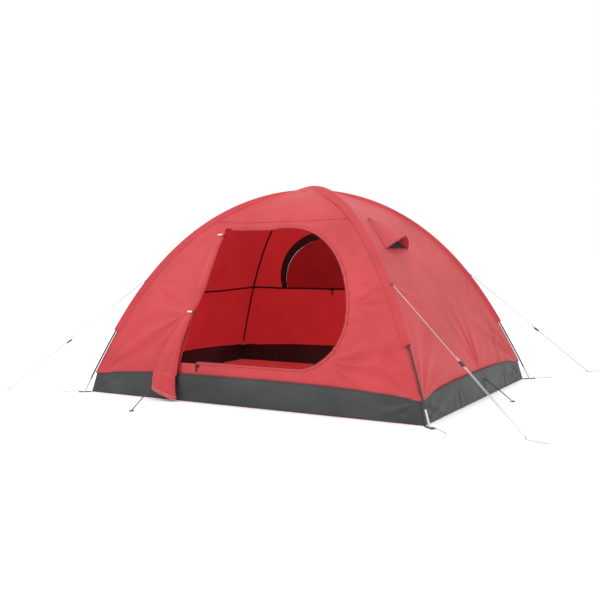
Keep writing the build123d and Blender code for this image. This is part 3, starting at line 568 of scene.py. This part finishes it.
class TENT_OT_stage(bpy.types.Operator):
    """Floor, lights and camera"""

    bl_idname = "tent.stage"
    bl_label = "Stage"

    def execute(self, context):
        settings = context.scene.tent_stage
        scene = context.scene
        size = settings.floor_size
        mesh = bpy.data.meshes.new("studio_floor")
        mesh.from_pydata([(-size, -size, -0.001), (size, -size, -0.001), (size, size, -0.001), (-size, size, -0.001)],
                         [], [(0, 1, 2, 3)])
        floor = bpy.data.objects.new("studio_floor", mesh)
        paper = bpy.data.materials.new("matt_white_paper")
        paper.use_nodes = True
        shader = paper.node_tree.nodes["Principled BSDF"]
        shader.inputs["Base Color"].default_value = linear("#FCFCFC")
        shader.inputs["Roughness"].default_value = 0.9
        shader.inputs["Emission Color"].default_value = linear("#FFFFFF")
        shader.inputs["Emission Strength"].default_value = settings.paper_glow
        mesh.materials.append(paper)
        scene.collection.objects.link(floor)
        world = bpy.data.worlds.new("soft_sky")
        world.use_nodes = True
        world.node_tree.nodes["Background"].inputs[0].default_value = linear("#FFFFFF")
        world.node_tree.nodes["Background"].inputs[1].default_value = settings.sky
        scene.world = world
        lights = (
            ("key", (-2.6, -4.2, 5.2), 3.2, settings.key),
            ("fill", (4.6, -3.4, 3.4), 3.0, settings.key * 0.35),
            ("top", (0.6, 1.2, 5.0), 3.5, settings.key * 0.45),
        )
        for name, place, width, power in lights:
            data = bpy.data.lights.new(name, "AREA")
            data.energy, data.size = power, width
            lamp = bpy.data.objects.new(name, data)
            lamp.location = place
            lamp.rotation_euler = (Vector((0, 0, 0.4)) - Vector(place)).to_track_quat("-Z", "Y").to_euler()
            scene.collection.objects.link(lamp)
        data = bpy.data.cameras.new("camera")
        data.lens, data.sensor_width = 51.85, 36.0
        camera = bpy.data.objects.new("camera", data)
        turn, pitch, roll = radians(31.017), radians(3.805), radians(-0.823)
        ahead = Vector((-sin(turn) * cos(pitch), cos(turn) * cos(pitch), -sin(pitch)))
        right = Vector((cos(turn), sin(turn), 0))
        up = right.cross(ahead)
        tilted = right * cos(roll) + up * sin(roll)
        upright = up * cos(roll) - right * sin(roll)
        place = Matrix((tilted, upright, -ahead)).transposed().to_4x4()
        place.translation = (2.516, -4.310, 0.829)
        camera.matrix_world = place
        scene.collection.objects.link(camera)
        scene.camera = camera
        scene.view_settings.view_transform = "Standard"
        return {"FINISHED"}


# Points of each cord's route, in metres
def guy_points(name):
    """The tied end, the loop at the peg and the way back up to the runner."""
    sx, sy = CORNERS[name]
    rod = (ROD_R, ROD_Z, ROD_ANGLE) if sx * sy > 0 else ROD_B
    z = 0.632
    r, angle = np.interp(z, rod[1][:-1], rod[0][:-1]), np.interp(z, rod[1][:-1], rod[2][:-1])
    lift = SLEEVE_R + 0.0003
    r, z = r + lift * sin(angle), z + lift * cos(angle)
    root = Vector((sx * r * HALF_X / DIAGONAL, sy * r * HALF_Y / DIAGONAL, z))
    ground = {"front_left": (-1.490, -0.925), "front_right": (1.490, -0.810),
              "back_right": (1.295, 1.175), "back_left": (-1.330, 1.120)}[name]
    foot = Vector((*ground, 0.007))
    along = (foot - root).normalized()
    head = root + along * 0.030
    across = Vector((-along.y, along.x, 0)).normalized()
    back = foot + across * 0.0096
    runner = foot - along * ((foot - head).length * 0.45)
    top = runner + across * 0.0096 - along * 0.046
    return [head + along * 0.0005, foot - along * 0.02, foot, back, back - along * 0.02, top]


def cord_piece(name, points, radius, finish):
    """A round cord on a smooth curve through its route."""
    curve = bpy.data.curves.new(name, "CURVE")
    curve.dimensions = "3D"
    curve.bevel_depth = radius
    curve.bevel_resolution = 3
    curve.use_fill_caps = True
    line = curve.splines.new("NURBS")
    line.points.add(len(points) - 1)
    for place, p in zip(line.points, points):
        place.co = (*p, 1.0)
    line.order_u = 3
    line.use_endpoint_u = True
    line.resolution_u = 16
    curve.materials.append(material(finish))
    piece = bpy.data.objects.new(name, curve)
    bpy.context.scene.collection.objects.link(piece)
    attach(piece, "tent")
    return piece


class TENT_OT_cords(bpy.types.Operator):
    """Guy lines and ground tethers"""

    bl_idname = "tent.cords"
    bl_label = "Cords"

    def execute(self, context):
        for name in CORNERS:
            points = guy_points(name)
            piece = cord_piece(f"line_{name}", points, CORD_R, "braided_polyester")
            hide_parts(f"guy_line_{name}")
        for side in ("front", "right"):
            low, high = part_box(f"tether_{side}")
            r = 0.0026
            if side == "front":
                start = Vector((low[0] + r, high[1] - r * 0.5, high[2] - r))
                end = Vector((high[0] - r, low[1] + r * 0.4, low[2] + r))
            else:
                start = Vector((low[0] + r * 0.6, high[1] - r, high[2] - r))
                end = Vector((high[0] - r * 0.6, low[1] + r, low[2] + r))
            points = [start, start.lerp(end, 0.33), start.lerp(end, 0.67), end]
            piece = cord_piece(f"elastic_{side}", points, r, "braided_elastic")
            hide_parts(f"tether_{side}")
        return {"FINISHED"}


class TENT_OT_walls(bpy.types.Operator):
    """Canopy panels"""

    bl_idname = "tent.walls"
    bl_label = "Canopy walls"

    def execute(self, context):
        top = {name: side.s[-1] for name, side in SIDES.items()}
        front, back, left, right = (SIDES[n] for n in ("front", "back", "left", "right"))
        seam = {n: SIDES[n].up(WALL_SEAM) for n in ("back", "left")}
        cloth_panel("front_wall", front, side_loop(front, 0, front.up(FRONT_SEAM)), [DOOR], OUTER,
                    ["front_panel"])
        cloth_panel("front_crown", front, side_loop(front, front.up(FRONT_SEAM), top["front"] - 0.004), [], OUTER,
                    ["front_top_panel"])
        cloth_panel("left_skirt", left, side_loop(left, 0, seam["left"]), [], OUTER, ["left_lower_panel"],
                    step=0.014)
        cloth_panel("left_crown", left, side_loop(left, seam["left"], top["left"] - 0.004), [], OUTER,
                    ["left_upper_panel"], step=0.014)
        cloth_panel("back_skirt", back, side_loop(back, 0, seam["back"]), [], OUTER, ["back_lower_panel"],
                    step=0.014)
        cloth_panel("back_crown", back, side_loop(back, seam["back"], top["back"] - 0.004), [WINDOW_LOOPS[0.0]], OUTER,
                    ["back_upper_panel"], step=0.014)
        cloth_panel("right_wall", right, side_loop(right, 0, top["right"] - 0.004), [VENT], OUTER,
                    ["right_panel"])
        for name, s, side in (("back", seam["back"], back), ("left", seam["left"], left)):
            reach = side.reach(s) - 0.004
            a = np.linspace(-reach, reach, 120)
            up = np.full_like(a, s)
            out = side_folds(side, a, up) - CLOTH - 0.0012
            points = side.point(a, up, out)
            normal = side.point(a, up, out + 0.01) - points
            ribbon(f"{name}_seam_tape", points, normal / 0.01, 0.012, "seam_tape")
        a = np.linspace(-1, 1, 160) * (front.reach(front.up(FRONT_SEAM)) - 0.004)
        up = np.full_like(a, front.up(FRONT_SEAM))
        points = front.point(a, up, side_folds(front, a, up) + 0.0006)
        normal = (front.point(a, up, side_folds(front, a, up) + 0.0106) - points) / 0.01
        ribbon("front_seam", points, normal, 0.008, "ripstop_polyester")
        return {"FINISHED"}


class TENT_OT_window(bpy.types.Operator):
    """Rear window band and cover"""

    bl_idname = "tent.window"
    bl_label = "Rear window"

    def execute(self, context):
        back = SIDES["back"]
        cloth_panel("window_binding", back, WINDOW_LOOPS[0.0], [WINDOW_LOOPS[BAND]], ("nylon_webbing", "nylon_webbing"),
                    ["window_band"], out=0.0008, depth=0.0030)
        loop = WINDOW_LOOPS[BAND]
        middle = loop.mean(0)
        shrunk = middle + (loop - middle) * 0.997
        cloth_panel("window_flap", back, shrunk, [], ("ripstop_polyester", "doubled_polyester_lit_through"),
                    ["window_cover"], body="window_cover", step=0.014)
        return {"FINISHED"}


def tub_point(side, fraction, v):
    """Points of the bathtub's wall: fraction along it and share of its height."""
    foot = side.half_out * FLOOR_SHARE
    head = side.half_out * np.interp(HEM, RIDGE_Z, side.share)
    rise = HEM + hem_shift(fraction) * 0.999
    a = fraction * (side.half_along * (FLOOR_SHARE * (1 - v) + v * np.interp(HEM, RIDGE_Z, side.share)))
    middle = 1 - fraction**2
    bulge = 0.016 * middle * np.sin(pi * np.clip(v, 0, 1) * 0.85)
    out = foot + (head - foot) * v + bulge
    x = a * 1.0
    folds = drift(x * 2.1, v * 0.3, 0.0020, 3.0 + side.half_out)
    for sign in (-1, 1):
        folds = folds + fan(x, v * 0.13, (sign * side.half_along * 0.965, 0.125), (-sign, -0.42), 0.42, 0.42, 13, 0.0068)
        folds = folds + fan(x, v * 0.13, (sign * side.half_along * 0.965, 0.0), (-sign, 0.30), 0.35, 0.34, 12, 0.0048)
    for spot in (-0.42, 0.05, 0.5):
        folds = folds + fan(x, v * 0.13, (spot * side.half_along, 0.12), (0.5, -1), 0.9, 0.16, 8, 0.0035)
    folds = folds * np.clip(middle * 9, 0, 1) * np.sin(pi * np.clip(v, 0.0, 1)) ** 0.6
    out = out + folds
    z = 0.0015 + rise * v
    pair = (a, side.sign * out) if side.wide else (side.sign * out, a)
    return np.stack([*pair, z], -1)


class TENT_OT_tub(bpy.types.Operator):
    """Bathtub walls and floor"""

    bl_idname = "tent.tub"
    bl_label = "Bathtub floor"

    def execute(self, context):
        rows = 22
        for name, side in SIDES.items():
            columns = 260 if side.wide else 200
            fraction, v = np.meshgrid(np.linspace(-1, 1, columns), np.linspace(0, 1, rows))
            points = tub_point(side, fraction, v).reshape(-1, 3)
            faces = grid_faces(rows, columns)
            if name in ("back", "left"):
                faces = [f[::-1] for f in faces]
            uv = np.stack([(fraction * side.half_along).ravel(), (v * 0.125).ravel()], 1)
            piece = make(f"{name}_bathtub_wall", points, faces, ("heavy_coated_polyester",) * 2, uv=uv)
            thicken(piece, CLOTH, 0.0)
            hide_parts(f"tub_{name}")
            a = np.linspace(-0.995, 0.995, 200)
            ones = np.ones_like(a)
            points = tub_point(side, a, ones)
            normal = np.zeros_like(points)
            normal[:, 1 if side.wide else 0] = side.sign
            normal[:, 2] = 0.35
            normal /= np.linalg.norm(normal, axis=1)[:, None]
            ribbon(f"{name}_hem_tape", points, normal, 0.006, "heavy_coated_polyester", lift=0.0012)
        nx, ny = 200, 150
        half_x, half_y = HALF_X * FLOOR_SHARE - 0.005, HALF_Y * FLOOR_SHARE - 0.005
        x, y = np.meshgrid(np.linspace(-1, 1, nx) * half_x, np.linspace(-1, 1, ny) * half_y)
        rim = np.minimum(half_x - np.abs(x), half_y - np.abs(y))
        swell = np.clip(rim / 0.06, 0, 1)
        z = 0.0022 + swell * (0.007 + drift(x * 1.3, y * 1.6, 0.0045, 0.4) + 0.0025 * crease(26 * x + 9 * np.sin(3 * y)))
        z = np.maximum(z, 0.002)
        points = np.stack([x, y, z], -1).reshape(-1, 3)
        faces = grid_faces(ny, nx)
        # The floor's finish glows: painted light for daylight coming through the red walls
        piece = make("floor_cloth", points, faces, "coated_taffeta", uv=np.stack([x.ravel(), y.ravel()], 1))
        thicken(piece, 0.0015)
        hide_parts("floor_sheet")
        return {"FINISHED"}


def ridge_rows(pole):
    """Ridge points, pole centres and wall directions from one sleeve end up to the top, in metres."""
    rod = (ROD_R, ROD_Z) if pole == "a" else ROD_B[:2]
    first = np.searchsorted(RIDGE_Z, SLEEVE_END)
    picks = np.unique(np.concatenate([np.arange(first, len(RIDGE_Z), 3), [len(RIDGE_Z) - 1]]))
    rows = []
    for i in picks:
        normal = np.array([sin(ROD_ANGLE[i]), cos(ROD_ANGLE[i])])
        gap = np.stack([rod[0] - RIDGE_R[i], rod[1] - RIDGE_Z[i]], 1)
        off = np.abs(gap[:, 0] * normal[1] - gap[:, 1] * normal[0])
        lift = (gap @ normal)[off.argmin()]
        rows.append((RIDGE_R[i], RIDGE_Z[i], ROD_ANGLE[i], lift))
    return rows


class TENT_OT_sleeves(bpy.types.Operator):
    """Pole sleeves, ridge tapes and peak patch"""

    bl_idname = "tent.sleeves"
    bl_label = "Pole sleeves"

    def execute(self, context):
        for pole, slant in (("a", 1), ("b", -1)):
            sections = []
            tapes = []
            halves = ridge_rows(pole)
            for end in (-1, 1):
                part = []
                ux, uy = end * HALF_X / DIAGONAL, end * slant * HALF_Y / DIAGONAL
                # The tape goes on down the ridge below the sleeve's end, to the bathtub
                for i in range(np.searchsorted(RIDGE_Z, HEM + 0.01), np.searchsorted(RIDGE_Z, SLEEVE_END), 3):
                    outward = np.array([ux * sin(ROD_ANGLE[i]), uy * sin(ROD_ANGLE[i]), cos(ROD_ANGLE[i])])
                    place = np.array([ux * RIDGE_R[i], uy * RIDGE_R[i], RIDGE_Z[i]])
                    tapes.append((end, place - outward * 0.0035, outward))
                for r, z, angle, lift in halves:
                    outward = np.array([ux * sin(angle), uy * sin(angle), cos(angle)])
                    across = np.array([-uy, ux, 0.0]) * end
                    place = np.array([ux * r, uy * r, z])
                    rim = []
                    # Fall of each wall behind the ridge, front or back first, for a step across it
                    steep = sin(angle)
                    falls = (HALF_X / HALF_Y * steep, HALF_Y / HALF_X * steep)
                    first = falls if (uy * -across[0] + ux * across[1]) * slant * end > 0 else falls[::-1]
                    for sign, fall in ((-1, first[0]), (1, first[1])):
                        reach = 0.017 / hypot(1, fall)
                        flap = []
                        for t, raised in ((1.0, 0.0006), (0.85, 0.0012), (0.6, 0.0022)):
                            b = sign * (reach * t + 0.004)
                            flap.append(place + across * b + outward * (-fall * abs(b) * 0.93 + raised))
                        over = []
                        for turn in (62, 36, 12):
                            a = radians(turn) * sign
                            radius = SLEEVE_R + 0.0006
                            over.append(place + across * radius * sin(a) + outward * (lift + radius * cos(a)))
                        rim.append(flap + over if sign < 0 else (flap + over)[::-1])
                    part.append(np.array(rim[0] + rim[1]))
                    tapes.append((end, place - outward * 0.0035, outward))
                sections.append(part)
            rows = sections[0] + sections[1][::-1][1:]
            count = len(rows[0])
            verts = np.concatenate(rows)
            faces = grid_faces(len(rows), count)
            p, q, s = (verts[faces[len(faces) // 2][k]] for k in range(3))
            if np.cross(q - p, s - p)[2] < 0:
                faces = [f[::-1] for f in faces]
            length = np.arange(len(rows)) * 0.013
            uv = np.stack([np.repeat(length, count), np.tile(np.arange(count) * 0.004, len(rows))], 1)
            piece = make(f"pole_sleeve_{pole}", verts, faces, OUTER, uv=uv)
            thicken(piece, 0.0009, lining=True)
            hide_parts(f"sleeve_{pole}")
            for end in (-1, 1):
                line = [(p, n) for e, p, n in tapes if e == end]
                ribbon(f"ridge_tape_{pole}_{'near' if end < 0 else 'far'}", [p for p, _ in line], [n for _, n in line],
                       0.011, "seam_tape", lift=-0.003)
        low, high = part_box("peak_cap")
        nx, ny = 40, 30
        x, y = np.meshgrid(np.linspace(-1, 1, nx), np.linspace(-1, 1, ny))
        droop = 0.030 * np.maximum(np.abs(x), np.abs(y)) ** 1.9 + 0.006 * (x * y) ** 2
        z = high[2] + 0.001 - droop
        points = np.stack([x * (high[0] - low[0]) / 2, y * (high[1] - low[1]) / 2, z], -1).reshape(-1, 3)
        faces = grid_faces(ny, nx)
        piece = make("peak_patch", points, faces, OUTER, uv=points[:, :2])
        thicken(piece, CLOTH, lining=True)
        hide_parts("peak_cap")
        return {"FINISHED"}


ROLL = [  # height, free edge, half width and half depth of the rolled and hanging door
    (0.893, -0.318, 0.009, 0.008),
    (0.850, -0.302, 0.024, 0.017),
    (0.720, -0.297, 0.036, 0.025),
    (0.600, -0.302, 0.039, 0.026),
    (0.520, -0.328, 0.027, 0.019),
    (0.465, -0.357, 0.017, 0.015),
    (0.410, -0.368, 0.034, 0.022),
    (0.300, -0.382, 0.060, 0.025),
    (0.215, -0.381, 0.078, 0.026),
    (0.130, -0.376, 0.088, 0.026),
    (0.060, -0.368, 0.094, 0.024),
    (0.004, -0.358, 0.098, 0.022),
]
ROLL_TURNS = 3.3


def roll_point(z, u):
    """Point of the rolled door: u runs over the cloth from its free edge in the core to its sewn edge."""
    table = np.array(ROLL)[::-1]
    edge, half_width, half_depth = (np.interp(z, table[:, 0], table[:, i]) for i in (1, 2, 3))
    front = SIDES["front"]
    wall = np.where(
        z > HEM,
        HALF_Y * np.interp(z, RIDGE_Z, front.share),
        HALF_Y * (FLOOR_SHARE + (np.interp(HEM, RIDGE_Z, front.share) - FLOOR_SHARE) * z / HEM) + 0.012,
    )
    turn = 2 * pi * ROLL_TURNS * (1 - u) + pi / 2 - 0.5
    loose = np.clip((0.47 - z) / 0.35, 0, 1)
    size = (0.42 + 0.56 * u)
    pleat = 0.10 * loose * np.sin(7 * turn + 2.2) + 0.05 * np.sin(3 * turn + 9 * z) + 0.03 * np.sin(11 * turn - 6 * z)
    size = size * (1 - 0.10 - 0.5 * pleat * u)
    twist = turn + 0.8 * (z - 0.5)
    x = edge - half_width + half_width * size * np.cos(twist)
    y = -wall - half_depth - 0.002 + half_depth * size * np.sin(twist)
    return np.stack(np.broadcast_arrays(x, y, z), -1)


class TENT_OT_door(bpy.types.Operator):
    """Rolled door, zip tape and edge binding"""

    bl_idname = "tent.door"
    bl_label = "Door"

    def execute(self, context):
        columns, rows = 300, 150
        u, v = np.meshgrid(np.linspace(0, 1, columns), np.linspace(0, 1, rows))
        z = 0.893 - v * (0.893 - 0.005)
        points = roll_point(z, u)
        left = np.clip((-0.375 - points[..., 0]) / 0.19, 0, 1)
        points[..., 2] += left * 0.060 * np.clip((0.30 - z) / 0.30, 0, 1)
        verts = points.reshape(-1, 3)
        faces = [
            (r * columns + i, (r + 1) * columns + i, (r + 1) * columns + i + 1, r * columns + i + 1)
            for r in range(rows - 1) for i in range(columns - 1)
        ]
        piece = make("door_cloth", verts, faces, OUTER, uv=np.stack([u.ravel() * 0.6, z.ravel()], 1))
        thicken(piece, 0.0012, 0.0)
        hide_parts("door_panel")
        for k, up in enumerate((0.003, 0.016)):
            line = points[-1, columns // 2:, :] + np.array([0, 0, up])
            line = line[::2]
            centre = points[-1].mean(0)
            away = line - centre
            away[:, 2] = 0
            line = line + away / np.linalg.norm(away, axis=1)[:, None] * 0.0012
            verts, faces = tube_mesh(line, 0.0016, 8)
            piece = make(f"door_hem_piping_{k + 1}", verts, faces, "binding_tape")
        front = SIDES["front"]
        inner = on_side(front, door_loop(0.014))
        outer = on_side(front, door_loop(-0.003))
        sewn = outer[:, 0] > -0.30
        pairs = [(outer[i], inner[i]) for i in range(len(outer)) if sewn[i] and inner[i][0] > -0.30]
        first = max(range(len(pairs)), key=lambda i: hypot(*(pairs[i][0] - pairs[i - 1][0])))
        pairs = pairs[first:] + pairs[:first]
        rows = []
        for p, q in pairs:
            rows += [p + (q - p) * t for t in (0, 0.33, 0.66, 1)]
        flat = np.array(rows)
        out = side_folds(front, flat[:, 0], flat[:, 1])
        verts = front.point(flat[:, 0], flat[:, 1], out + 0.0004)
        faces = [(4 * i + k, 4 * i + k + 1, 4 * i + 5 + k, 4 * i + 4 + k) for i in range(len(pairs) - 1) for k in range(3)]
        piece = make("door_zip_band", verts, faces, "ripstop_polyester", uv=flat)
        thicken(piece, 0.0018, 0.0)
        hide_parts("door_zip_tape")
        edge = np.array([p * 0.9 + q * 0.1 for p, q in pairs])
        lifted = front.point(edge[:, 0], edge[:, 1], side_folds(front, edge[:, 0], edge[:, 1]) + 0.0012)
        verts, faces = tube_mesh(lifted, 0.0017, 8)
        piece = make("door_edge_piping", verts, faces, "ripstop_polyester")
        teeth = np.array([p * 0.12 + q * 0.88 for p, q in pairs])
        lifted = front.point(teeth[:, 0], teeth[:, 1], side_folds(front, teeth[:, 0], teeth[:, 1]) + 0.0008)
        verts, faces = tube_mesh(lifted, 0.0016, 8)
        piece = make("door_zip_coil", verts, faces, "seam_tape")
        return {"FINISHED"}


class TENT_OT_vent(bpy.types.Operator):
    """Vent hood and mesh"""

    bl_idname = "tent.vent"
    bl_label = "Vent"

    def execute(self, context):
        right = SIDES["right"]
        cloth_panel("vent_net", right, VENT, [], ("knitted_mesh",) * 2, ["vent_mesh"], out=-0.001)
        top_s, foot_s = right.up(VENT_TOP), right.up(VENT_FOOT)
        tip = right.point(VENT_MIDDLE, foot_s)
        peak = np.array([tip[0] + HOOD_OUT, VENT_MIDDLE, VENT_FOOT + HOOD_UP])
        count = 34
        verts, faces, index = [], [], {}
        for side_sign in (-1, 1):
            for i in range(count + 1):
                t = i / count
                s = top_s + (foot_s - top_s) * t
                a = VENT_MIDDLE + side_sign * VENT_HALF * t
                sewn = right.point(a, s, side_folds(right, np.array([a]), np.array([s]))[0] + 0.0012)
                ridge = right.point(VENT_MIDDLE, top_s, 0.001) * (1 - t) + peak * t
                for k in range(count + 1):
                    w = k / count
                    p = sewn * (1 - w) + ridge * w
                    swell = 0.010 * sin(pi * w) ** 1.5 * t
                    p = p + np.array([0.75, 0, 0.66]) * swell
                    index[side_sign, i, k] = len(verts)
                    verts.append(p)
            for i in range(count):
                for k in range(count):
                    steps = ((i, k), (i + 1, k), (i + 1, k + 1), (i, k + 1))
                    quad = [index[(side_sign, *step)] for step in steps]
                    faces.append(quad[::-1] if side_sign > 0 else quad)
        piece = make("hood_cloth", verts, faces, OUTER, uv=np.array(verts)[:, 1:])
        weld = piece.modifiers.new("seam", "WELD")
        weld.merge_threshold = 0.0003
        thicken(piece, CLOTH, lining=True)
        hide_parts("vent_hood")
        rim = [verts[index[-1, count, k]] for k in range(count + 1)]
        rim += [verts[index[1, count, k]] for k in range(count, -1, -1)]
        line = np.array(rim[:count + 1] + rim[count + 2:])
        tube, quads = tube_mesh(line, 0.0022, 8)
        binding = make("hood_binding", tube, quads, "ripstop_polyester")
        return {"FINISHED"}


PLAIN = {
    "pultruded_fibreglass": [f"pole_{p}_section_{i}" for p in "ab" for i in range(1, 7)],
    "zinc_plated_steel": ["pole_ferrules", "corner_pegs", "guy_pegs"],
    "turned_aluminium": ["pole_tips"],
    "nickelled_brass": ["eyelets"],
    "nylon_webbing": ["corner_straps", "guy_tabs", "roll_ties"],
    "moulded_acetal": ["tether_rings", "vent_strut", "door_slider", "window_slider", "door_pull", "window_pull"]
    + [f"guy_runner_{c}" for c in CORNERS],
    "cream_acetal": ["toggle_top", "toggle_middle"],
    "braided_elastic": ["shock_cords"],
}


class TENT_OT_hardware(bpy.types.Operator):
    """Finishes of the poles, pegs and fittings"""

    bl_idname = "tent.hardware"
    bl_label = "Hardware finishes"

    def execute(self, context):
        for finish, nodes in PLAIN.items():
            for node in nodes:
                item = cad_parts[node]
                if not item.material_slots:
                    item.data.materials.append(None)
                for place in item.material_slots:
                    place.material = material(finish)
        return {"FINISHED"}


class TentStage(bpy.types.PropertyGroup):
    """Floor and lights"""

    floor_size: bpy.props.FloatProperty(
        name="Floor half size", description="Half the floor's side", default=40.0, unit="LENGTH")
    key: bpy.props.FloatProperty(name="Key light", description="Power of the main light", default=110.0, unit="POWER")
    sky: bpy.props.FloatProperty(name="Sky", description="Brightness of the surroundings", default=1.0)
    paper_glow: bpy.props.FloatProperty(name="Paper glow", description="Light added to the floor", default=0.06)


class TENT_PT_panel(bpy.types.Panel):
    """Buttons for each group of pieces"""

    bl_label = "Dome tent"
    bl_idname = "TENT_PT_panel"
    bl_space_type = "VIEW_3D"
    bl_region_type = "UI"
    bl_category = "Tent"

    def draw(self, context):
        for name in ("key", "sky", "paper_glow", "floor_size"):
            self.layout.prop(context.scene.tent_stage, name)
        for operator in OPERATORS:
            self.layout.operator(operator.bl_idname)


OPERATORS = (
    TENT_OT_stage, TENT_OT_cords, TENT_OT_walls, TENT_OT_window, TENT_OT_tub, TENT_OT_sleeves,
    TENT_OT_door, TENT_OT_vent, TENT_OT_hardware,
)
CLASSES = (TentStage, *OPERATORS, TENT_PT_panel)


def register():
    for item in CLASSES:
        bpy.utils.register_class(item)
    bpy.types.Scene.tent_stage = bpy.props.PointerProperty(type=TentStage)


def unregister():
    del bpy.types.Scene.tent_stage
    for item in reversed(CLASSES):
        bpy.utils.unregister_class(item)


def main():
    register()
    for operator in OPERATORS:
        group, name = operator.bl_idname.split(".")
        getattr(getattr(bpy.ops, group), name)()


if __name__ == "__main__":
    main()
